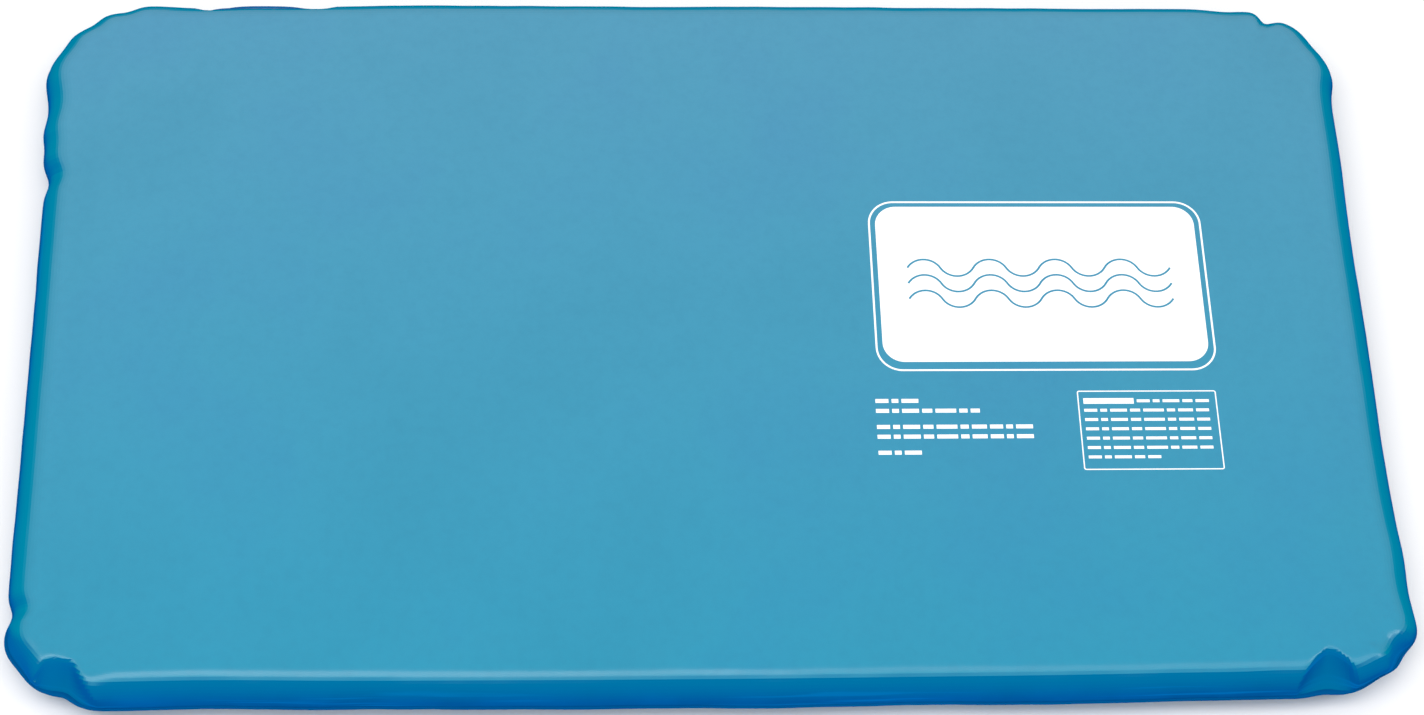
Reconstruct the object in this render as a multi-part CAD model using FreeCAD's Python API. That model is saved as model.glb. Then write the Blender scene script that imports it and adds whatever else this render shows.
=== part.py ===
"""Water-filled cooling mat: two sheets of vinyl film welded round a soaked foam core.

Millimetres. The origin is on the underside, at the middle of the mat. +X runs along
its length, +Y towards the back edge with the filling valve, and +Z up.
Each function returns one piece, and each piece goes to parts/NODE.step.
"""

import FreeCAD, Part
import itertools
import math
import os

from FreeCAD import Vector

# The whole mat, out to the rim of its weld.
LENGTH = 560.0
DEPTH = 330.0
THICKNESS = 25.0
CORNER_RADIUS = 40.0
MID_HEIGHT = THICKNESS / 2

# Film and weld. The two films fuse into one rim at mid height, which stands a little
# proud of the rounded wall.
FILM = 0.5
WELD_THICKNESS = 2 * FILM
WELD_PROUD = 1.5
EDGE_RADIUS = 11.5

# Foam core, a loose fit in the film.
FOAM_GAP = 0.4

# Filling valve, in the back seam near the left corner.
VALVE_X = -190.0
VALVE_LENGTH = 44.0
VALVE_HEIGHT = 13.6
VALVE_FACE = DEPTH / 2 - 1.0
VALVE_BLOCK_DEPTH = 7.0
FLANGE_LENGTH = 58.0
FLANGE_HEIGHT = 18.0
FLANGE_THICKNESS = 1.0
BARREL_RADIUS = 5.2
BARREL_REACH = 23.0
BORE_RADIUS = 3.2
RECESS_RADIUS = 5.8
RECESS_DEPTH = 3.0
FOAM_NOTCH_MARGIN = 4.0

# Plug: a push fit in the bore, with its head in the recess.
PLUG_CLEARANCE = 0.05
SHANK_LENGTH = 15.0
SHANK_CHAMFER = 0.8
HEAD_RADIUS = 5.5
HEAD_THICKNESS = 2.3
HEAD_ROUNDING = 0.8
GRIP_LENGTH = 7.6
GRIP_WIDTH = 1.8
GRIP_HEIGHT = 1.3

# White ink on the top face, let into the film so that the face stays flat.
INK = 0.1
PANEL_CENTRE = (141.0, 18.7)
PANEL_SIZE = (137.0, 75.0)
PANEL_RADIUS = 9.0
OUTLINE_CENTRE = (141.0, 17.9)
OUTLINE_SIZE = (143.0, 82.0)
OUTLINE_RADIUS = 11.0
OUTLINE_WIDTH = 0.8

# Wave mark left open in the white panel, with the film showing through.
WAVE_ROWS = 3
WAVE_ROW_PITCH = 7.5
WAVE_ARCS = 8
WAVE_ARC_CHORD = 14.0
WAVE_STROKE = 0.9
WAVE_HALF_ANGLE = 60.0

# Small print, as plain word-length bars with no lettering.
WORD_LENGTHS = (5.4, 2.8, 7.0, 4.2, 8.6, 3.4, 6.2)
WORD_SPACE = 1.3
NOTICE_LEFT = 68.0
NOTICE_BAR_HEIGHT = 1.8
NOTICE_LINES = ((-37.0, 20.0), (-41.6, 43.0), (-49.0, 65.0), (-53.5, 67.0), (-60.8, 20.0))
CAUTION_CENTRE = (181.1, -50.8)
CAUTION_SIZE = (58.2, 36.5)
CAUTION_LINE_WIDTH = 0.5
CAUTION_TEXT_INSET = 2.4
CAUTION_HEADING_DROP = 4.8
CAUTION_HEADING_LENGTH = 21.0
CAUTION_HEADING_HEIGHT = 2.6
CAUTION_LINE_PITCH = 4.3
CAUTION_LINE_COUNT = 6
CAUTION_LINE_LENGTH = 52.5
CAUTION_LAST_LENGTH = 30.0
CAUTION_BAR_HEIGHT = 1.3

PARTS_FOLDER = "parts"
SAME_HEIGHT = 1e-6


def box_between(low, high):
    """Box from its lowest corner to its highest corner."""
    size = [high[i] - low[i] for i in range(3)]
    return Part.makeBox(size[0], size[1], size[2], Vector(*low))


def edges_at_height(solid, height):
    """Edges of the solid that lie flat at one height."""
    return [
        edge
        for edge in solid.Edges
        if all(abs(vertex.Point.z - height) < SAME_HEIGHT for vertex in edge.Vertexes)
    ]


def upright_edges(solid, bottom, top):
    """Edges of the solid that run straight up from bottom to top."""
    return [
        edge
        for edge in solid.Edges
        if abs(edge.BoundBox.ZLength - (top - bottom)) < SAME_HEIGHT
    ]


def rounded_plate(centre, size, radius, bottom, top):
    """Flat rectangular plate with round corners."""
    half_x = size[0] / 2
    half_y = size[1] / 2
    plate = box_between(
        (centre[0] - half_x, centre[1] - half_y, bottom),
        (centre[0] + half_x, centre[1] + half_y, top),
    )
    return plate.makeFillet(radius, upright_edges(plate, bottom, top))


def mat_slab(inset, bottom, top):
    """Slab with the mat's outline, drawn in from the weld's rim by inset."""
    size = (LENGTH - 2 * inset, DEPTH - 2 * inset)
    return rounded_plate((0.0, 0.0), size, CORNER_RADIUS - inset, bottom, top)


def mat_body(inset, skin_depth):
    """Whole mat shape with its rounded edge, skin_depth inside the top and bottom faces."""
    bottom = skin_depth
    top = THICKNESS - skin_depth
    slab = mat_slab(inset, bottom, top)
    radius = EDGE_RADIUS - skin_depth
    return slab.makeFillet(radius, edges_at_height(slab, bottom) + edges_at_height(slab, top))


def lens_prism(length, height, front, back):
    """Boat-shaped prism along Y at the valve, pointed where it runs out into the seam."""
    left = Vector(VALVE_X - length / 2, front, MID_HEIGHT)
    right = Vector(VALVE_X + length / 2, front, MID_HEIGHT)
    crown = Vector(VALVE_X, front, MID_HEIGHT + height / 2)
    keel = Vector(VALVE_X, front, MID_HEIGHT - height / 2)
    upper = Part.Arc(left, crown, right).toShape()
    lower = Part.Arc(right, keel, left).toShape()
    face = Part.Face(Part.Wire([upper, lower]))
    return face.extrude(Vector(0, back - front, 0))


def valve_cylinder(radius, front, back):
    """Cylinder on the valve's own axis, which runs along Y at mid height."""
    return Part.makeCylinder(radius, back - front, Vector(VALVE_X, front, MID_HEIGHT), Vector(0, 1, 0))


def valve_block():
    """Outer block of the valve, which fills the gap that the seam leaves for it."""
    prism = lens_prism(VALVE_LENGTH, VALVE_HEIGHT, VALVE_FACE - VALVE_BLOCK_DEPTH, VALVE_FACE)
    return prism.common(mat_body(DEPTH / 2 - VALVE_FACE, 0.0))


def upper_film():
    """Top film before its print: half of a closed skin, open where the valve passes."""
    wall = WELD_PROUD
    skin = mat_body(wall, 0.0).cut(mat_body(wall + FILM, FILM))
    seam_top = MID_HEIGHT + WELD_THICKNESS / 2
    upper_half = mat_slab(0.0, seam_top, THICKNESS)
    return skin.common(upper_half).cut(valve_gap())


def valve_gap():
    """Everything that the films and the weld give up to the valve's block."""
    return lens_prism(VALVE_LENGTH, VALVE_HEIGHT, DEPTH / 2 - THICKNESS, DEPTH / 2 + THICKNESS)


def bottom_sheet():
    """Bottom film: the mirror image of the top film below the seam."""
    return upper_film().mirror(Vector(0, 0, MID_HEIGHT), Vector(0, 0, 1))


def top_sheet(prints):
    """Top film, with a shallow seat for each print."""
    sheet = upper_film()
    for print_layer in prints:
        sheet = sheet.cut(print_layer)
    return sheet


def edge_weld():
    """Fused rim of the two films, all round at mid height, broken only at the valve."""
    bottom = MID_HEIGHT - WELD_THICKNESS / 2
    top = MID_HEIGHT + WELD_THICKNESS / 2
    rim = mat_slab(0.0, bottom, top).cut(mat_slab(WELD_PROUD + FILM, bottom, top))
    return rim.cut(valve_gap())


def foam_core():
    """Open-cell foam slab that holds the water, notched round the valve."""
    inset = WELD_PROUD + FILM + FOAM_GAP
    core = mat_body(inset, FILM + FOAM_GAP)
    half_notch = FLANGE_LENGTH / 2 + FOAM_NOTCH_MARGIN
    notch = box_between(
        (VALVE_X - half_notch, VALVE_FACE - VALVE_BLOCK_DEPTH - FOAM_GAP, 0.0),
        (VALVE_X + half_notch, VALVE_FACE, THICKNESS),
    )
    barrel_end = VALVE_FACE - BARREL_REACH - FOAM_GAP
    barrel_hole = valve_cylinder(BARREL_RADIUS + FOAM_GAP, barrel_end, VALVE_FACE)
    return core.cut(notch).cut(barrel_hole)


def valve_body():
    """Soft moulded valve: block in the seam, weld flange inside the film, barrel and bore."""
    wall = WELD_PROUD + FILM
    barrel_end = VALVE_FACE - BARREL_REACH
    flange_layer = mat_body(wall, FILM).cut(mat_body(wall + FLANGE_THICKNESS, FILM + FLANGE_THICKNESS))
    flange = flange_layer.common(lens_prism(FLANGE_LENGTH, FLANGE_HEIGHT, barrel_end, VALVE_FACE))
    barrel = valve_cylinder(BARREL_RADIUS, barrel_end, VALVE_FACE - VALVE_BLOCK_DEPTH + FILM)
    solid = valve_block().fuse([flange, barrel]).removeSplitter()
    bore = valve_cylinder(BORE_RADIUS, barrel_end, VALVE_FACE)
    recess = valve_cylinder(RECESS_RADIUS, VALVE_FACE - RECESS_DEPTH, VALVE_FACE)
    return solid.cut(bore.fuse(recess))


def valve_plug():
    """Push-in stopper: shank in the bore, domed head in the recess, and a grip rib."""
    seat = VALVE_FACE - RECESS_DEPTH + PLUG_CLEARANCE
    head_face = seat + HEAD_THICKNESS
    shank = valve_cylinder(BORE_RADIUS - PLUG_CLEARANCE, seat - SHANK_LENGTH, seat)
    tip = [edge for edge in shank.Edges if abs(edge.BoundBox.YMax - (seat - SHANK_LENGTH)) < SAME_HEIGHT]
    shank = shank.makeChamfer(SHANK_CHAMFER, tip)
    head = valve_cylinder(HEAD_RADIUS, seat, head_face)
    brim = [edge for edge in head.Edges if abs(edge.BoundBox.YMin - head_face) < SAME_HEIGHT]
    head = head.makeFillet(HEAD_ROUNDING, brim)
    grip = box_between(
        (VALVE_X - GRIP_LENGTH / 2, head_face - HEAD_THICKNESS / 2, MID_HEIGHT - GRIP_WIDTH / 2),
        (VALVE_X + GRIP_LENGTH / 2, head_face + GRIP_HEIGHT, MID_HEIGHT + GRIP_WIDTH / 2),
    )
    return shank.fuse([head, grip]).removeSplitter()


def ink_plate(centre, size, radius):
    """Solid patch of ink with round corners, flush with the top face."""
    return rounded_plate(centre, size, radius, THICKNESS - INK, THICKNESS)


def ink_bar(left, centre_y, length, height):
    """One plain bar of ink, flush with the top face."""
    return box_between(
        (left, centre_y - height / 2, THICKNESS - INK),
        (left + length, centre_y + height / 2, THICKNESS),
    )


def word_bars(left, centre_y, line_length, height):
    """One line of small print, as bars the length of words."""
    bars = []
    used = 0.0
    for word in itertools.cycle(WORD_LENGTHS):
        length = min(word, line_length - used)
        if length < WORD_SPACE:
            return bars
        bars.append(ink_bar(left + used, centre_y, length, height))
        used += length + WORD_SPACE


def wave_arc(centre_x, row_y, rising):
    """One arch or trough of the wave mark, as a strip cut from a ring."""
    radius = WAVE_ARC_CHORD / 2 / math.sin(math.radians(WAVE_HALF_ANGLE))
    centre_drop = radius * math.cos(math.radians(WAVE_HALF_ANGLE))
    side = 1.0 if rising else -1.0
    hub = Vector(centre_x, row_y - side * centre_drop, THICKNESS - INK)
    sweep = 2 * WAVE_HALF_ANGLE
    up = Vector(0, 0, 1)
    outer = Part.makeCylinder(radius + WAVE_STROKE / 2, INK, hub, up, sweep)
    inner = Part.makeCylinder(radius - WAVE_STROKE / 2, INK, hub, up, sweep)
    start = 90.0 * side - WAVE_HALF_ANGLE
    strip = outer.cut(inner)
    strip.rotate(hub, up, start)
    return strip


def wave_mark():
    """Rows of waves, the shape left open in the panel."""
    arcs = []
    first_x = PANEL_CENTRE[0] - WAVE_ARC_CHORD * (WAVE_ARCS - 1) / 2
    first_y = PANEL_CENTRE[1] - WAVE_ROW_PITCH * (WAVE_ROWS - 1) / 2
    for row in range(WAVE_ROWS):
        for index in range(WAVE_ARCS):
            centre_x = first_x + index * WAVE_ARC_CHORD
            row_y = first_y + row * WAVE_ROW_PITCH
            arcs.append(wave_arc(centre_x, row_y, rising=index % 2 == 0))
    return arcs


def logo_panel_print():
    """White panel with the wave mark left open in it."""
    panel = ink_plate(PANEL_CENTRE, PANEL_SIZE, PANEL_RADIUS)
    return panel.cut(wave_mark())


def ink_frame(centre, size, radius, width):
    """Thin line of ink along the inside of a plate's outline."""
    hole_size = (size[0] - 2 * width, size[1] - 2 * width)
    return ink_plate(centre, size, radius).cut(ink_plate(centre, hole_size, radius - width))


def logo_outline_print():
    """Fine outline round the white panel."""
    return ink_frame(OUTLINE_CENTRE, OUTLINE_SIZE, OUTLINE_RADIUS, OUTLINE_WIDTH)


def notice_print():
    """Block of small print below the panel, on the left."""
    bars = []
    for centre_y, line_length in NOTICE_LINES:
        bars += word_bars(NOTICE_LEFT, centre_y, line_length, NOTICE_BAR_HEIGHT)
    return Part.makeCompound(bars)


def caution_box_print():
    """Framed block of small print below the panel, on the right."""
    top = CAUTION_CENTRE[1] + CAUTION_SIZE[1] / 2
    left = CAUTION_CENTRE[0] - CAUTION_SIZE[0] / 2 + CAUTION_TEXT_INSET
    heading_y = top - CAUTION_HEADING_DROP
    pieces = [
        ink_frame(CAUTION_CENTRE, CAUTION_SIZE, 2 * CAUTION_LINE_WIDTH, CAUTION_LINE_WIDTH),
        ink_bar(left, heading_y, CAUTION_HEADING_LENGTH, CAUTION_HEADING_HEIGHT),
    ]
    after_heading = CAUTION_HEADING_LENGTH + WORD_SPACE
    pieces += word_bars(
        left + after_heading, heading_y, CAUTION_LINE_LENGTH - after_heading, CAUTION_BAR_HEIGHT
    )
    for line in range(1, CAUTION_LINE_COUNT + 1):
        last = line == CAUTION_LINE_COUNT
        length = CAUTION_LAST_LENGTH if last else CAUTION_LINE_LENGTH
        centre_y = heading_y - line * CAUTION_LINE_PITCH
        pieces += word_bars(left, centre_y, length, CAUTION_BAR_HEIGHT)
    return Part.makeCompound(pieces)


def build_parts():
    """Every piece of the mat, by node name."""
    prints = {
        "logo_panel_print": logo_panel_print(),
        "logo_outline_print": logo_outline_print(),
        "notice_print": notice_print(),
        "caution_box_print": caution_box_print(),
    }
    parts = {
        "top_sheet": top_sheet(prints.values()),
        "bottom_sheet": bottom_sheet(),
        "edge_weld": edge_weld(),
        "foam_core": foam_core(),
        "valve_body": valve_body(),
        "valve_plug": valve_plug(),
    }
    parts.update(prints)
    return parts


os.makedirs(PARTS_FOLDER, exist_ok=True)
for node, shape in build_parts().items():
    shape.exportStep(os.path.join(PARTS_FOLDER, node + ".step"))
    print(f"{node}: {len(shape.Solids)} solid(s), {shape.Volume / 1000:.2f} cm3, valid {shape.isValid()}")
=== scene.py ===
"""Looks of the water-filled cooling mat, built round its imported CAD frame.

Metres. The film shells, the foam and the weld come from one outline function, with the
corner puckers worked into the film. The valve and the prints are the CAD solids.
"""

import bpy
import math
from mathutils import Matrix, Vector, noise


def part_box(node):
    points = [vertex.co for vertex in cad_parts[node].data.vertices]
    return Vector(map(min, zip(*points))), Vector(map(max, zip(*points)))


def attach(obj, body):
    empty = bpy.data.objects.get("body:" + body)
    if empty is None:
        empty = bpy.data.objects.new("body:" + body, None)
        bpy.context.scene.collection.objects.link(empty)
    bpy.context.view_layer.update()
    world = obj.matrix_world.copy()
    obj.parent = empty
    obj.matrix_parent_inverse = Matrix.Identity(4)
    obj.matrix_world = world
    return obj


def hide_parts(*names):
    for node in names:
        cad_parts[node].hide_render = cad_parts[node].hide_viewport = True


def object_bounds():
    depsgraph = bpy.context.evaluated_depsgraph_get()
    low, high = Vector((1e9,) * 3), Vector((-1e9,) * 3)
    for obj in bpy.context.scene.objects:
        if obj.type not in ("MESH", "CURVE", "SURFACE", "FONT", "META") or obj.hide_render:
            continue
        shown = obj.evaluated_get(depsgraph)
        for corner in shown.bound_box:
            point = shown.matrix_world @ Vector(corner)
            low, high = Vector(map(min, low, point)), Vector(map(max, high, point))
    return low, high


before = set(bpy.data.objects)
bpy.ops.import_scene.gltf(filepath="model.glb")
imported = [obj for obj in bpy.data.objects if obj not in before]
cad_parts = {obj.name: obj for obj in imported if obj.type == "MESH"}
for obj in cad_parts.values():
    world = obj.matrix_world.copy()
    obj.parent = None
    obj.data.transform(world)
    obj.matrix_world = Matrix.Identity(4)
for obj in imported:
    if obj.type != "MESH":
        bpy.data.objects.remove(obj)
cad_low, cad_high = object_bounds()

MM = 0.001
LENGTH = cad_high.x - cad_low.x
DEPTH = cad_high.y - cad_low.y
THICKNESS = cad_high.z - cad_low.z
MID_HEIGHT = THICKNESS / 2
CORNER_RADIUS = 40 * MM
EDGE_RADIUS = 12.1 * MM
FILM = 0.5 * MM
FOAM_INSET = 1.6 * MM
WELD_REACH = 0.02 * MM

# Mesh density of the film.
OUTLINE_STEP = 2.3 * MM
CORNER_STEP = 1.3 * MM
CORNER_ZONE = 46 * MM
RIM_STEP = 1.6 * MM
WALL_RINGS = 14
EDGE_RINGS = 26
EDGE_BAND = 48 * MM
MIDDLE_RINGS = 14

# Beyond this share of the corner radius the rings also close in towards the middle line,
# and that fast along X, where 1 would keep them full length.
KEPT_ROUND = 0.6
END_KEPT = 0.45

# Weld rim: its section beyond the wall and above mid height, in mm, and how it runs.
RIM_SECTION = (
    (-2.2, -0.55), (-0.2, -0.5), (0.5, -0.3), (0.7, 0.0), (0.5, 0.3), (-0.2, 0.5), (-2.2, 0.55),
)
RIM_WANDER = 0.35 * MM
RIM_OVERLAP = 8 * MM

# The flat part of the top face that carries the prints, and how far the ink stands up there.
INK_PROUD = 0.05 * MM
PRINT_MARGIN = 20 * MM
PRINT_NODES = ("logo_panel_print", "logo_outline_print", "notice_print", "caution_box_print")

# Camera, from the photograph's perspective: place, turn and lens.
CAMERA_PLACE = (-0.0700, -0.6055, 1.1264)
CAMERA_YAW = 6.89
CAMERA_PITCH = 61.69
CAMERA_ROLL = 5.92
CAMERA_LENS = 76.4
CAMERA_SENSOR = 36

# Ceiling lights: name, place, size along X and Y, and power in watts.
CEILING_LIGHTS = (
    ("overhead", (-0.80, -0.30, 1.6), (1.9, 0.6), 12),
    ("overhead_right", (0.70, -0.30, 1.6), (1.1, 0.6), 2.6),
    ("overhead_end", (1.60, -0.30, 1.6), (0.7, 0.6), 5),
)
WORLD_STRENGTH = 0.9
FLOOR_HALF = 6.0
FLOOR_DROP = 0.2 * MM


# --- Outline ---------------------------------------------------------------

def outline_length():
    """Length of the seam line, once round the mat."""
    straight = 2 * (LENGTH + DEPTH - 4 * CORNER_RADIUS)
    return straight + 2 * math.pi * CORNER_RADIUS


def outline_point(distance):
    """Point and outward direction on the seam line, counter-clockwise from the front's middle."""
    half_x = LENGTH / 2 - CORNER_RADIUS
    half_y = DEPTH / 2 - CORNER_RADIUS
    arc = CORNER_RADIUS * math.pi / 2
    legs = (
        (half_x, Vector((0, -half_y)), 0),
        (2 * half_y, Vector((half_x, -half_y)), 90),
        (2 * half_x, Vector((half_x, half_y)), 180),
        (2 * half_y, Vector((-half_x, half_y)), 270),
        (half_x, Vector((-half_x, -half_y)), 360),
    )
    left = distance % outline_length()
    for straight, start, heading in legs:
        angle = math.radians(heading)
        along = Vector((math.cos(angle), math.sin(angle)))
        outward = Vector((math.sin(angle), -math.cos(angle)))
        if left <= straight:
            return start + outward * CORNER_RADIUS + along * left, outward
        left -= straight
        if left <= arc:
            turn = angle + left / CORNER_RADIUS
            outward = Vector((math.sin(turn), -math.cos(turn)))
            return start + along * straight + outward * CORNER_RADIUS, outward
        left -= arc
    return Vector((0, -DEPTH / 2)), Vector((0, -1))


def corner_middle(name):
    """Distance round the seam line at the middle of a corner."""
    arc = CORNER_RADIUS * math.pi / 2
    half_front = LENGTH / 2 - CORNER_RADIUS
    side = DEPTH - 2 * CORNER_RADIUS
    middles = {
        "front_right": half_front + arc / 2,
        "back_right": half_front + arc * 1.5 + side,
        "back_left": half_front * 3 + arc * 2.5 + side,
        "front_left": half_front * 3 + arc * 3.5 + side * 2,
    }
    return middles[name]


def seam_stations():
    """Distances round the seam, closer together at the corners and alike in every quarter."""
    quarter = outline_length() / 4
    corner = corner_middle("front_right")
    marks = (0.0, corner - CORNER_ZONE, corner + CORNER_ZONE, quarter)
    first = []
    for start, end, step in zip(marks, marks[1:], (OUTLINE_STEP, CORNER_STEP, OUTLINE_STEP)):
        count = int(round((end - start) / step))
        first += [start + (end - start) * index / count for index in range(count)]
    second = [quarter] + [2 * quarter - distance for distance in reversed(first[1:])]
    front_to_back = first + second
    return front_to_back + [2 * quarter + distance for distance in front_to_back]


# --- Puckers ---------------------------------------------------------------
# The film gathers at the corners. Places are mm round the seam from the corner's middle,
# counter-clockwise, and every size is in mm.
# WAVES move the whole wall out (or in, below zero): place, half width, rise.
# PLEATS stand up from the shoulder only: place, half width, rise.
# DENTS are arched facets where the shoulder is drawn down to a slope: place, half width, how
# far in the arch reaches, softness of its crease, and how far its top leans along the seam.
# DENT_HOLLOW above 1 makes the slope hollow; a smaller DENT_ROUND makes the arch blunter.

WAVES = {
    "front_left": (
        (-46, 13, 0.2), (-31, 5, -2.2), (-17, 9, 2.2), (0, 8, 1.0), (14, 6, -1.9), (70, 45, -0.8),
    ),
    "front_right": (
        (-75, 40, -0.5), (-46, 14, -0.8), (-28, 8, -2.2), (4, 6, 2.2), (19, 9, 4.7), (31, 8, 1.1),
        (48, 18, 2.1), (80, 22, 0.5),
    ),
    "back_right": (
        (-60, 25, 0.5), (-26, 9, 2.4), (-17, 6, 0.7), (-2, 8, 1.0), (14, 5, -4.6), (33, 12, -1.9),
        (70, 40, -0.2),
    ),
    "back_left": (
        (-80, 40, -0.9), (-50, 20, -1.2), (-20, 7, -1.9), (-3, 5, -1.0), (8, 5, 0.9), (29, 13, 2.9),
        (57, 9, 2.4), (71, 6, 1.2), (82, 5, -1.6),
    ),
}

PLEATS = {
    "front_left": ((27, 6, 1.1),),
    "front_right": ((-8, 8, 1.2), (-1, 5.5, 1.8), (14, 5, 1.0)),
}

DENTS = {
    "front_left": ((16, 13.5, 12.4, 1.4, -10.5), (-13, 12, 5.5, 3.5, 0)),
    "front_right": ((-28.5, 12.5, 14.6, 1.0, 4), (6.5, 8, 6, 2.8, 0)),
}
DENT_HOLLOW = 1.25
DENT_ROUND = 0.5
WAVE_FADE = (16 * MM, 38 * MM)

# The top film droops towards the two short sides, over a strip further in than the shoulder.
SIDE_DROOP = 2.2 * MM
SIDE_DROOP_END = 30 * MM

# The front edge bows out a little in the middle, and the lower wall is drawn in at the valve.
FRONT_BOW = 0.6 * MM
FRONT_BOW_HALF = 130 * MM
VALVE_DRAW = 1.7 * MM
VALVE_DRAW_ALONG = (23 * MM, 32 * MM)
VALVE_DRAW_CLIMB = (8 * MM, 13 * MM)

# The films are cut open round the valve's plug, and the foam is hollowed out behind the valve.
MOUTH_ROOM = 0.8 * MM
HOLLOW_ROOM = 1.5 * MM
HOLLOW_SIDE = 12 * MM
HOLLOW_END = 80 * MM


def smooth_step(low, high, value):
    """0 below low, 1 above high, with a smooth change between."""
    t = min(max((value - low) / (high - low), 0.0), 1.0)
    return t * t * (3 - 2 * t)


def signed_gap(distance, place):
    """Shortest way along the seam from a place to a distance, in metres."""
    whole = outline_length()
    return (distance - place + whole / 2) % whole - whole / 2


def place_puckers(table):
    """The table's puckers, each with its place as a distance round the seam."""
    placed = []
    for corner, rows in table.items():
        for place, *sizes in rows:
            placed.append((corner_middle(corner) + place * MM, *[size * MM for size in sizes]))
    return placed


WAVES_PLACED = place_puckers(WAVES)
PLEATS_PLACED = place_puckers(PLEATS)
DENTS_PLACED = place_puckers(DENTS)


def valve_distance():
    """Distance round the seam at the middle of the valve."""
    low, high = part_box("valve_plug")
    half_front = LENGTH / 2 - CORNER_RADIUS
    side = DEPTH - 2 * CORNER_RADIUS
    back_start = half_front + side + math.pi * CORNER_RADIUS
    return back_start + half_front - (low.x + high.x) / 2


VALVE_PLACE = valve_distance()
VALVE_LOW, VALVE_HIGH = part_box("valve_body")


def wall_offset(distance):
    """How far the whole wall stands out (or in, below zero) at a distance round the seam."""
    offset = FRONT_BOW * math.exp(-(signed_gap(distance, 0.0) / FRONT_BOW_HALF) ** 2)
    for place, half, rise in WAVES_PLACED:
        across = signed_gap(distance, place) / half
        if abs(across) < 3:
            offset += rise * math.exp(-across * across)
    return offset


def valve_draw(distance, climb):
    """How far the wall is drawn in round the valve, so that the valve's block stands proud."""
    beside = abs(signed_gap(distance, VALVE_PLACE))
    share = 1 - smooth_step(*VALVE_DRAW_ALONG, beside)
    return VALVE_DRAW * share * (1 - smooth_step(*VALVE_DRAW_CLIMB, climb))


def hollow_depth(distance, inset):
    """How far the foam's wall is set in to leave room for the valve."""
    half_width = (VALVE_HIGH.x - VALVE_LOW.x) / 2
    beside = abs(signed_gap(distance, VALVE_PLACE))
    share = 1 - smooth_step(half_width + HOLLOW_ROOM, half_width + HOLLOW_SIDE, beside)
    depth = DEPTH / 2 - VALVE_LOW.y + HOLLOW_ROOM
    return depth * share * (1 - smooth_step(0.0, HOLLOW_END, inset))


def clear_of_plug(vertices, faces):
    """The faces that are left when the film is cut open round the valve's plug."""
    low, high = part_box("valve_plug")
    radius = (high.z - low.z) / 2 + MOUTH_ROOM
    middle_x, middle_z = (low.x + high.x) / 2, (low.z + high.z) / 2
    inside = [
        y > low.y and math.hypot(x - middle_x, z - middle_z) < radius for x, y, z in vertices
    ]
    return [face for face in faces if not any(inside[corner] for corner in face)]


def pleat_offset(distance, climb):
    """How far the pleats stand up from the shoulder."""
    quarter = EDGE_RADIUS * math.pi / 2
    fade = 1 - smooth_step(quarter * 0.6, quarter * 1.1, climb)
    share = smooth_step(0.0, quarter * 0.4, climb) * fade
    offset = 0.0
    for place, half, rise in PLEATS_PLACED:
        across = signed_gap(distance, place) / half
        if abs(across) < 3:
            offset += rise * share * math.exp(-across * across)
    return offset


def dented_level(distance, inset, level):
    """Height above the seam after the dents have drawn the shoulder down."""
    for place, half, reach, crease, lean in DENTS_PLACED:
        top_place = place + lean * min(inset / reach, 1.0)
        across = signed_gap(distance, top_place) / half
        if abs(across) >= 0.999:
            continue
        arch = reach * math.cos(across * math.pi / 2) ** DENT_ROUND
        slope = THICKNESS / 2 * (inset / arch) ** DENT_HOLLOW
        level = (level + slope - math.hypot(level - slope, crease)) / 2
    return level


def side_droop(outward, inset, climb):
    """How far the top film droops near the short sides."""
    share = 1 - smooth_step(EDGE_RADIUS * 0.6, SIDE_DROOP_END, inset)
    return SIDE_DROOP * outward.x ** 2 * share * smooth_step(0.0, EDGE_RADIUS, climb)


def ripple(distance, climb):
    """Slight unevenness of the film along the whole edge."""
    angle = 2 * math.pi * distance / outline_length()
    spot = Vector((math.cos(angle) * 5.5, math.sin(angle) * 5.5, climb * 22))
    fine = Vector((math.cos(angle) * 19, math.sin(angle) * 19, climb * 60))
    fade = 1 - smooth_step(14 * MM, 40 * MM, climb)
    return (0.55 * noise.noise(spot) + 0.16 * noise.noise(fine)) * MM * fade


# --- Film shells -----------------------------------------------------------

def print_zone():
    """Rectangle on the top face that holds all the prints."""
    corners = [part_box(node) for node in PRINT_NODES]
    low_x = min(low.x for low, high in corners) - PRINT_MARGIN
    high_x = max(high.x for low, high in corners) + PRINT_MARGIN
    low_y = min(low.y for low, high in corners) - PRINT_MARGIN
    high_y = max(high.y for low, high in corners) + PRINT_MARGIN
    return low_x, high_x, low_y, high_y


ZONE = print_zone()


def face_relief(x, y, inset):
    """Soft unevenness of the top or bottom face, level where the prints are."""
    broad = noise.noise(Vector((x * 9, y * 9, 1.3)))
    fine = noise.noise(Vector((x * 21, y * 21, 7.7)))
    swell = broad * 0.5 + fine * 0.16
    outside_x = max(ZONE[0] - x, x - ZONE[1], 0.0)
    outside_y = max(ZONE[2] - y, y - ZONE[3], 0.0)
    free = smooth_step(0.0, 40 * MM, math.hypot(outside_x, outside_y))
    edge = smooth_step(EDGE_RADIUS, EDGE_RADIUS + 30 * MM, inset)
    return swell * MM * free * edge


def ring_rows():
    """Inset, rise above the seam and climb along the surface of each ring near the edge."""
    rows = []
    for step in range(WALL_RINGS + 1):
        angle = math.pi / 2 * step / WALL_RINGS
        inset = EDGE_RADIUS * (1 - math.cos(angle))
        rows.append((inset, EDGE_RADIUS * math.sin(angle), EDGE_RADIUS * angle))
    wall_climb = rows[-1][2]
    for step in range(1, EDGE_RINGS + 1):
        along = (EDGE_BAND - EDGE_RADIUS) * (step / EDGE_RINGS) ** 1.25
        rows.append((EDGE_RADIUS + along, EDGE_RADIUS, wall_climb + along))
    return rows


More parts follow.
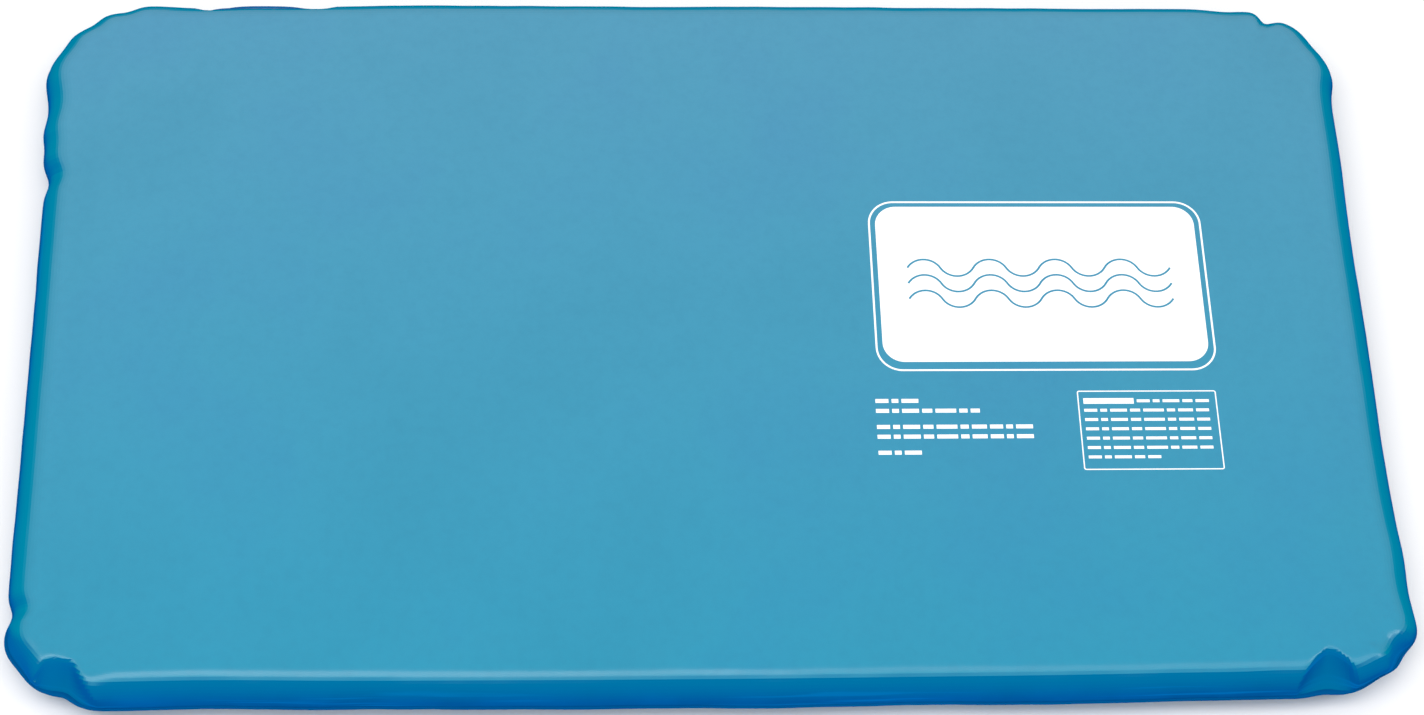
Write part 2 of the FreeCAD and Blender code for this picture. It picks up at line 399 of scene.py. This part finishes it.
def inset_point(distance, inset):
    """Point a given way in from the wall, with the corner kept round further in."""
    point, outward = outline_point(distance)
    turn_in = CORNER_RADIUS * KEPT_ROUND
    if inset <= turn_in:
        return point - outward * inset, outward
    base = point - outward * turn_in
    shrink = 1 - (inset - turn_in) / (DEPTH / 2 - turn_in)
    return Vector((base.x * (shrink + (1 - shrink) * END_KEPT), base.y * shrink)), outward


def all_rows():
    """Every ring from the seam to the middle line: inset, rise and climb."""
    rows = ring_rows()
    last_inset = rows[-1][0]
    for step in range(1, MIDDLE_RINGS + 1):
        deeper = (DEPTH / 2 - last_inset) * step / MIDDLE_RINGS
        rows.append((last_inset + deeper, EDGE_RADIUS, rows[-1][2] + deeper))
    return rows


def shell_point(distance, wall, row, upward, inset_more, foam):
    """One point of a shell: on the seam at a distance, on the ring that a row describes."""
    inset, rise, climb = row
    lean = min(climb / (EDGE_RADIUS * math.pi / 2), 1.0) * math.pi / 2
    near_edge = climb < EDGE_BAND
    bulge = ripple(distance, climb) if near_edge else 0.0
    if near_edge and upward > 0:
        bulge += pleat_offset(distance, climb)
    at, outward = inset_point(distance, inset_more + inset)
    fade = 1 - smooth_step(*WAVE_FADE, climb)
    out = wall * fade + bulge * math.cos(lean) - valve_draw(distance, climb)
    if foam:
        out -= hollow_depth(distance, inset)
    half_height = THICKNESS / 2 - inset_more
    level = rise * half_height / EDGE_RADIUS + bulge * math.sin(lean)
    x = at.x + outward.x * out
    y = at.y + outward.y * out
    if near_edge and upward > 0:
        level -= side_droop(outward, inset, climb)
        level = dented_level(distance, inset, level)
    if upward > 0 and not foam:
        level += face_relief(x, y, inset) - INK_PROUD
    if upward < 0:
        level = min(level, half_height)
    return x, y, MID_HEIGHT + upward * level


def ring_faces(ring_count, count, upward):
    """Faces between neighbouring rings, with their outer side away from the middle height."""
    faces = []
    for ring in range(ring_count - 1):
        for index in range(count):
            following = (index + 1) % count
            a, b = ring * count + index, ring * count + following
            c, d = b + count, a + count
            faces.append((a, b, c, d) if upward > 0 else (a, d, c, b))
    return faces


def half_shell(upward, inset_more=0.0, foam=False):
    """Vertices and faces of one half of a shell, from the seam to where the rings close.

    upward is 1 for the upper half and -1 for the lower; inset_more draws the surface in;
    foam leaves out the film's relief and makes room for the valve. The last ring lies on a
    line, where its front and back halves are welded later.
    """
    rounds = seam_stations()
    walls = [wall_offset(distance) for distance in rounds]
    rows = all_rows()
    vertices = [
        shell_point(distance, wall, row, upward, inset_more, foam)
        for row in rows
        for distance, wall in zip(rounds, walls)
    ]
    return vertices, ring_faces(len(rows), len(rounds), upward)


def new_object(name, vertices, faces, material, smooth=True):
    """Mesh object in the scene with one material."""
    mesh = bpy.data.meshes.new(name)
    mesh.from_pydata([tuple(v) for v in vertices], [], faces)
    mesh.validate()
    mesh.materials.append(material)
    mesh.polygons.foreach_set("use_smooth", [smooth] * len(mesh.polygons))
    made = bpy.data.objects.new(name, mesh)
    bpy.context.scene.collection.objects.link(made)
    return made


def apply_modifiers(piece):
    """Bakes the piece's modifiers into its mesh."""
    graph = bpy.context.evaluated_depsgraph_get()
    finished = bpy.data.meshes.new_from_object(piece.evaluated_get(graph))
    piece.modifiers.clear()
    piece.data = finished


def weld_doubles(piece):
    """Joins vertices that lie in one place."""
    join = piece.modifiers.new("join", "WELD")
    join.merge_threshold = WELD_REACH


def film_shell(name, upward, material):
    """One film as a closed skin of its real thickness."""
    vertices, faces = half_shell(upward)
    piece = new_object(name, vertices, clear_of_plug(vertices, faces), material)
    weld_doubles(piece)
    skin = piece.modifiers.new("skin", "SOLIDIFY")
    skin.thickness = FILM
    skin.offset = -1.0
    apply_modifiers(piece)
    return piece


# --- Materials -------------------------------------------------------------

def node_material(name):
    """Empty node material, with its tree and its shader."""
    material = bpy.data.materials.new(name)
    material.use_nodes = True
    tree = material.node_tree
    return material, tree, tree.nodes["Principled BSDF"]


def place_input(tree, scale):
    """Object-space position, scaled."""
    where = tree.nodes.new("ShaderNodeTexCoord")
    mapping = tree.nodes.new("ShaderNodeMapping")
    mapping.inputs["Scale"].default_value = scale
    tree.links.new(where.outputs["Object"], mapping.inputs["Vector"])
    return mapping.outputs["Vector"]


def noise_value(tree, vector, scale, detail=3.0, roughness=0.5):
    """Noise, from 0 to 1, over a position."""
    grain = tree.nodes.new("ShaderNodeTexNoise")
    grain.inputs["Scale"].default_value = scale
    grain.inputs["Detail"].default_value = detail
    grain.inputs["Roughness"].default_value = roughness
    tree.links.new(vector, grain.inputs["Vector"])
    return grain.outputs["Fac"]


def colour_ramp(tree, value, stops):
    """Colour that follows a value; stops are (position, colour)."""
    ramp = tree.nodes.new("ShaderNodeValToRGB")
    ramp.color_ramp.elements[0].position = stops[0][0]
    ramp.color_ramp.elements[0].color = (*stops[0][1], 1)
    ramp.color_ramp.elements[1].position = stops[-1][0]
    ramp.color_ramp.elements[1].color = (*stops[-1][1], 1)
    for position, colour in stops[1:-1]:
        ramp.color_ramp.elements.new(position).color = (*colour, 1)
    tree.links.new(value, ramp.inputs["Fac"])
    return ramp.outputs["Color"]


def mix_colours(tree, amount, first, second, kind="MIX"):
    """Mix of two linked colours by a linked or plain amount."""
    mix = tree.nodes.new("ShaderNodeMix")
    mix.data_type = "RGBA"
    mix.blend_type = kind
    if isinstance(amount, float):
        mix.inputs["Factor"].default_value = amount
    else:
        tree.links.new(amount, mix.inputs["Factor"])
    tree.links.new(first, mix.inputs["A"])
    tree.links.new(second, mix.inputs["B"])
    return mix.outputs["Result"]


def range_value(tree, value, low, high):
    """A 0 to 1 value stretched to run from low to high."""
    stretch = tree.nodes.new("ShaderNodeMapRange")
    stretch.inputs["To Min"].default_value = low
    stretch.inputs["To Max"].default_value = high
    tree.links.new(value, stretch.inputs["Value"])
    return stretch.outputs["Result"]


def bump(tree, shader, height, strength, distance, below=None):
    """Bump on the shader, laid over an earlier bump if there is one."""
    node = tree.nodes.new("ShaderNodeBump")
    node.inputs["Strength"].default_value = strength
    node.inputs["Distance"].default_value = distance
    tree.links.new(height, node.inputs["Height"])
    if below is not None:
        tree.links.new(below, node.inputs["Normal"])
    tree.links.new(node.outputs["Normal"], shader.inputs["Normal"])
    return node.outputs["Normal"]


def srgb(red, green, blue):
    """Linear colour from 0 to 255 display values."""
    channels = []
    for value in (red, green, blue):
        share = value / 255
        channels.append(share / 12.92 if share <= 0.04045 else ((share + 0.055) / 1.055) ** 2.4)
    return tuple(channels)


FACE_NEAR = srgb(20, 137, 169)
FACE_FAR = srgb(68, 141, 171)
# Painted shade: the shoulder and wall colours are the film's blue drawn teal, then deep blue, where it
# turns from level to upright and away from the light above.
SHADED_SHOULDERS = (srgb(0, 122, 152), srgb(0, 104, 150))
SHADED_FILM_WALL = srgb(0, 80, 144)
RIM_EDGE = srgb(0, 82, 138)
# Painted shade: the rim's wall colour is its edge blue drawn darker where the rim stands upright.
SHADED_RIM_WALL = srgb(0, 76, 132)
VALVE_BLUE = srgb(4, 92, 150)
PLUG_WHITE = srgb(232, 238, 240)


def mapped(tree, value, low, high):
    """Value stretched so that low gives 0 and high gives 1; low may be above high."""
    stretch = tree.nodes.new("ShaderNodeMapRange")
    stretch.inputs["From Min"].default_value = low
    stretch.inputs["From Max"].default_value = high
    tree.links.new(value, stretch.inputs["Value"])
    return stretch.outputs["Result"]


def facing(tree):
    """How level the surface is (1 is flat, 0 upright), and how much it faces the front."""
    geometry = tree.nodes.new("ShaderNodeNewGeometry")
    parts = tree.nodes.new("ShaderNodeSeparateXYZ")
    tree.links.new(geometry.outputs["True Normal"], parts.inputs["Vector"])
    level = tree.nodes.new("ShaderNodeMath")
    level.operation = "ABSOLUTE"
    tree.links.new(parts.outputs["Z"], level.inputs[0])
    return level.outputs["Value"], mapped(tree, parts.outputs["Y"], -0.05, -0.30)


def flat_face_colour(tree, position, near, far):
    """Face colour from the front edge to the back one, softly clouded and finely speckled."""
    place = tree.nodes.new("ShaderNodeSeparateXYZ")
    tree.links.new(position, place.inputs["Vector"])
    back = mapped(tree, place.outputs["Y"], -DEPTH / 2, DEPTH / 2)
    face = colour_ramp(tree, back, ((0.0, near), (1.0, far)))
    cloud = noise_value(tree, position, 11.0, 4.0, 0.55)
    cool, warm = srgb(232, 246, 246), srgb(252, 244, 255)
    tint = colour_ramp(tree, cloud, ((0.30, cool), (0.52, (1, 1, 1)), (0.72, warm)))
    face = mix_colours(tree, 0.55, face, tint, "MULTIPLY")
    speck = noise_value(tree, position, 260.0, 2.0, 0.6)
    dull = colour_ramp(tree, speck, ((0.25, srgb(240, 244, 246)), (0.6, (1, 1, 1))))
    return mix_colours(tree, 0.5, face, dull, "MULTIPLY")


def shaded_wall_colour(tree, position, wall, shoulder_shades, level, front):
    """Painted shade on the wall: deep blue where the film stands upright and turning teal towards the
    shoulder, with faint painted highlights streaked along the seam.
    """
    brighter = tuple(c * 1.25 for c in wall)
    shade = colour_ramp(tree, noise_value(tree, position, 38.0, 3.0, 0.5), ((0.3, wall), (0.7, brighter)))
    # Painted highlight: faint pale lines along the seam, mixed into the wall colour.
    seam_gleam_noise = noise_value(tree, place_input(tree, (11, 11, 520)), 1.0, 2.0)
    seam_gleam_mask = colour_ramp(tree, seam_gleam_noise, ((0.58, (0, 0, 0)), (0.66, (0.7, 0.7, 0.7))))
    pale = tree.nodes.new("ShaderNodeRGB")
    pale.outputs["Color"].default_value = (0.0, wall[1] * 1.9, wall[2] * 1.7, 1)
    shade = mix_colours(tree, seam_gleam_mask, shade, pale.outputs["Color"])
    # Painted shade: the wall colour turns teal as the film leans towards level, with one teal on the
    # front and another on the sides.
    shoulder = colour_ramp(tree, level, ((0.30, (0, 0, 0)), (0.84, (1, 1, 1))))
    teal = colour_ramp(tree, front, ((0.0, shoulder_shades[0]), (1.0, shoulder_shades[1])))
    return mix_colours(tree, shoulder, shade, teal)


def vinyl_material(name, near, far, shoulder_shades, wall, roughness, sheen_level):
    """Soft vinyl film, with painted shade: paler on the flat face and deep blue on the wall.

    near and far are the face's colour at the front and back edges; shoulder_shades are the
    shoulder's painted shade on the sides and back, and on the front. Only near-level film has a sheen.
    """
    material, tree, shader = node_material(name)
    position = place_input(tree, (1, 1, 1))
    level, front = facing(tree)
    face = flat_face_colour(tree, position, near, far)
    wall_shade = shaded_wall_colour(tree, position, wall, shoulder_shades, level, front)
    # Painted shade: the face colour gives way to the wall colour sharply on the front and gently on the
    # sides.
    crisp = colour_ramp(tree, level, ((0.88, (0, 0, 0)), (0.94, (1, 1, 1))))
    gentle = colour_ramp(tree, level, ((0.84, (0, 0, 0)), (0.998, (1, 1, 1))))
    border = mix_colours(tree, front, gentle, crisp)
    tree.links.new(mix_colours(tree, border, wall_shade, face), shader.inputs["Base Color"])
    grain = noise_value(tree, position, 55.0, 4.0, 0.6)
    rough = range_value(tree, grain, roughness - 0.05, roughness + 0.07)
    tree.links.new(rough, shader.inputs["Roughness"])
    sheen = colour_ramp(tree, level, ((0.87, (0, 0, 0)), (0.93, (sheen_level,) * 3)))
    tree.links.new(sheen, shader.inputs["Specular IOR Level"])
    soft = bump(tree, shader, noise_value(tree, position, 70.0, 3.0, 0.5), 0.10, 0.0012)
    bump(tree, shader, noise_value(tree, position, 1500.0, 2.0, 0.5), 0.10, 0.0001, soft)
    return material


def moulded_material(name, colour, roughness, translucence, gloss):
    """Soft moulded plastic with a faint moulding grain and slightly uneven gloss."""
    material, tree, shader = node_material(name)
    position = place_input(tree, (1, 1, 1))
    cloud = noise_value(tree, position, 240.0, 3.0, 0.5)
    shade = colour_ramp(tree, cloud, ((0.3, tuple(c * 0.86 for c in colour)), (0.7, colour)))
    tree.links.new(shade, shader.inputs["Base Color"])
    grain = noise_value(tree, position, 600.0, 3.0)
    rough = range_value(tree, grain, roughness - 0.06, roughness + 0.08)
    tree.links.new(rough, shader.inputs["Roughness"])
    shader.inputs["Specular IOR Level"].default_value = gloss
    shader.inputs["Subsurface Weight"].default_value = translucence
    shader.inputs["Subsurface Radius"].default_value = (0.004, 0.004, 0.004)
    bump(tree, shader, noise_value(tree, position, 1800.0, 3.0, 0.6), 0.12, 0.0001)
    return material


def foam_material():
    """Wet open-cell foam: off-white, with painted shade in its pores and painted light on the cell
    ridges.
    """
    material, tree, shader = node_material("open_cell_foam")
    position = place_input(tree, (1, 1, 1))
    cells = tree.nodes.new("ShaderNodeTexVoronoi")
    cells.inputs["Scale"].default_value = 700.0
    tree.links.new(position, cells.inputs["Vector"])
    pore_shade, skin, crest_light = srgb(150, 168, 172), srgb(214, 222, 222), srgb(232, 236, 234)
    shade = colour_ramp(tree, cells.outputs["Distance"], ((0.05, pore_shade), (0.4, skin), (0.8, crest_light)))
    blotch = noise_value(tree, position, 30.0)
    cloud = colour_ramp(tree, blotch, ((0.3, srgb(225, 232, 232)), (0.7, (1, 1, 1))))
    tree.links.new(mix_colours(tree, 1.0, shade, cloud, "MULTIPLY"), shader.inputs["Base Color"])
    shader.inputs["Roughness"].default_value = 0.7
    bump(tree, shader, cells.outputs["Distance"], 0.6, 0.0006)
    return material


def ink_material():
    """Flat white screen print, with faint thin spots and the film's grain showing through."""
    material, tree, shader = node_material("white_screen_print")
    position = place_input(tree, (1, 1, 1))
    thin = noise_value(tree, position, 420.0, 4.0, 0.6)
    shade = colour_ramp(tree, thin, ((0.22, srgb(226, 238, 242)), (0.45, srgb(250, 251, 251))))
    tree.links.new(shade, shader.inputs["Base Color"])
    rough = range_value(tree, noise_value(tree, position, 90.0), 0.5, 0.62)
    tree.links.new(rough, shader.inputs["Roughness"])
    bump(tree, shader, noise_value(tree, position, 1500.0, 2.0), 0.10, 0.0001)
    return material


# --- Pieces ----------------------------------------------------------------

def weld_rim(material):
    """Fused rim round the mat: a thin rounded lip that wanders a little, open at the valve."""
    half_gap = (VALVE_HIGH.x - VALVE_LOW.x) / 2 - RIM_OVERLAP
    whole = outline_length() - 2 * half_gap
    count = int(round(whole / RIM_STEP))
    vertices = []
    for index in range(count + 1):
        distance = VALVE_PLACE + half_gap + whole * index / count
        out = wall_offset(distance) + ripple(distance, 0.0) - valve_draw(distance, 0.0)
        at, outward = outline_point(distance)
        wander = noise.noise(Vector((at.x * 45, at.y * 45, 3.1))) * RIM_WANDER
        for beyond, up in RIM_SECTION:
            reach = out + beyond * MM
            level = MID_HEIGHT + up * MM + wander
            vertices.append((at.x + outward.x * reach, at.y + outward.y * reach, level))
    size = len(RIM_SECTION)
    faces = [tuple(reversed(range(size))), tuple(range(count * size, count * size + size))]
    for index in range(count):
        for side in range(size):
            across = (side + 1) % size
            here, there = index * size, (index + 1) * size
            faces.append((here + side, there + side, there + across, here + across))
    return new_object("weld_rim", vertices, faces, material)


def foam_slab(material):
    """Foam core, the same form as the film drawn in, so that it fills the mat without showing."""
    upper, upper_faces = half_shell(1, FOAM_INSET, foam=True)
    lower, lower_faces = half_shell(-1, FOAM_INSET, foam=True)
    shift = len(upper)
    faces = upper_faces + [tuple(i + shift for i in face) for face in lower_faces]
    piece = new_object("foam_slab", upper + lower, faces, material)
    weld_doubles(piece)
    apply_modifiers(piece)
    return piece


def dress_node(node, material):
    """Gives a carried-over CAD solid its finished material."""
    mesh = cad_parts[node].data
    mesh.materials.clear()
    mesh.materials.append(material)


def build_pieces():
    """Every piece of the mat; the films, the weld and the foam ride on the pad's body."""
    film = vinyl_material(
        "blue_vinyl_film", FACE_NEAR, FACE_FAR, SHADED_SHOULDERS, SHADED_FILM_WALL, roughness=0.22, sheen_level=0.43
    )
    # The rim's colour also follows its steepness, as painted shade.
    rim = vinyl_material(
        "welded_rim", RIM_EDGE, RIM_EDGE, (RIM_EDGE, RIM_EDGE), SHADED_RIM_WALL, roughness=0.30, sheen_level=0.0
    )
    top = film_shell("film_top", 1, film)
    bottom = film_shell("film_bottom", -1, film)
    weld = weld_rim(rim)
    foam = foam_slab(foam_material())
    for piece, node, slot in (
        (top, "top_sheet", "vinyl_film"),
        (bottom, "bottom_sheet", "vinyl_film"),
        (weld, "edge_weld", "welded_rim"),
        (foam, "foam_core", "foam"),
    ):
        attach(piece, "pad")
        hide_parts(node)
    ink = ink_material()
    for node in PRINT_NODES:
        dress_node(node, ink)
    valve = moulded_material("valve_moulding", VALVE_BLUE, roughness=0.42, translucence=0.1, gloss=0.12)
    plug = moulded_material("plug_moulding", PLUG_WHITE, roughness=0.38, translucence=0.2, gloss=0.4)
    dress_node("valve_body", valve)
    dress_node("valve_plug", plug)


# --- Scene -----------------------------------------------------------------

def build_floor():
    """Plain pale floor."""
    corners = [
        (x * FLOOR_HALF, y * FLOOR_HALF, -FLOOR_DROP) for x, y in ((-1, -1), (1, -1), (1, 1), (-1, 1))
    ]
    material, tree, shader = node_material("pale_floor")
    shader.inputs["Base Color"].default_value = (0.9, 0.9, 0.9, 1)
    shader.inputs["Roughness"].default_value = 0.8
    floor = new_object("floor", corners, [(0, 1, 2, 3)], material)


def ceiling_light(name, place, size, power):
    """Rectangular soft light that faces straight down."""
    data = bpy.data.lights.new(name, "AREA")
    data.shape = "RECTANGLE"
    data.size = size[0]
    data.size_y = size[1]
    data.energy = power
    light = bpy.data.objects.new(name, data)
    light.location = place
    bpy.context.scene.collection.objects.link(light)


def build_lights():
    """Pale surroundings and soft lights overhead, which draw the gleam on the front edge."""
    world = bpy.data.worlds.new("studio")
    world.use_nodes = True
    background = world.node_tree.nodes["Background"]
    background.inputs["Color"].default_value = (1, 1, 1, 1)
    background.inputs["Strength"].default_value = WORLD_STRENGTH
    bpy.context.scene.world = world
    for name, place, size, power in CEILING_LIGHTS:
        ceiling_light(name, place, size, power)


def build_camera():
    """Camera at the photograph's viewing angle."""
    yaw, pitch, roll = (math.radians(a) for a in (CAMERA_YAW, CAMERA_PITCH, CAMERA_ROLL))
    flat = math.cos(pitch)
    forward = Vector((math.sin(yaw) * flat, math.cos(yaw) * flat, -math.sin(pitch)))
    level_right = Vector((math.cos(yaw), -math.sin(yaw), 0))
    level_up = level_right.cross(forward)
    right = level_right * math.cos(roll) + level_up * math.sin(roll)
    up = level_up * math.cos(roll) - level_right * math.sin(roll)
    data = bpy.data.cameras.new("camera")
    data.lens = CAMERA_LENS
    data.sensor_width = CAMERA_SENSOR
    camera = bpy.data.objects.new("camera", data)
    turn = Matrix((right, up, -forward)).transposed().to_4x4()
    camera.matrix_world = Matrix.Translation(Vector(CAMERA_PLACE)) @ turn
    bpy.context.scene.collection.objects.link(camera)
    bpy.context.scene.camera = camera


build_camera()
build_floor()
build_lights()
build_pieces()
bpy.context.scene.view_settings.view_transform = "Standard"
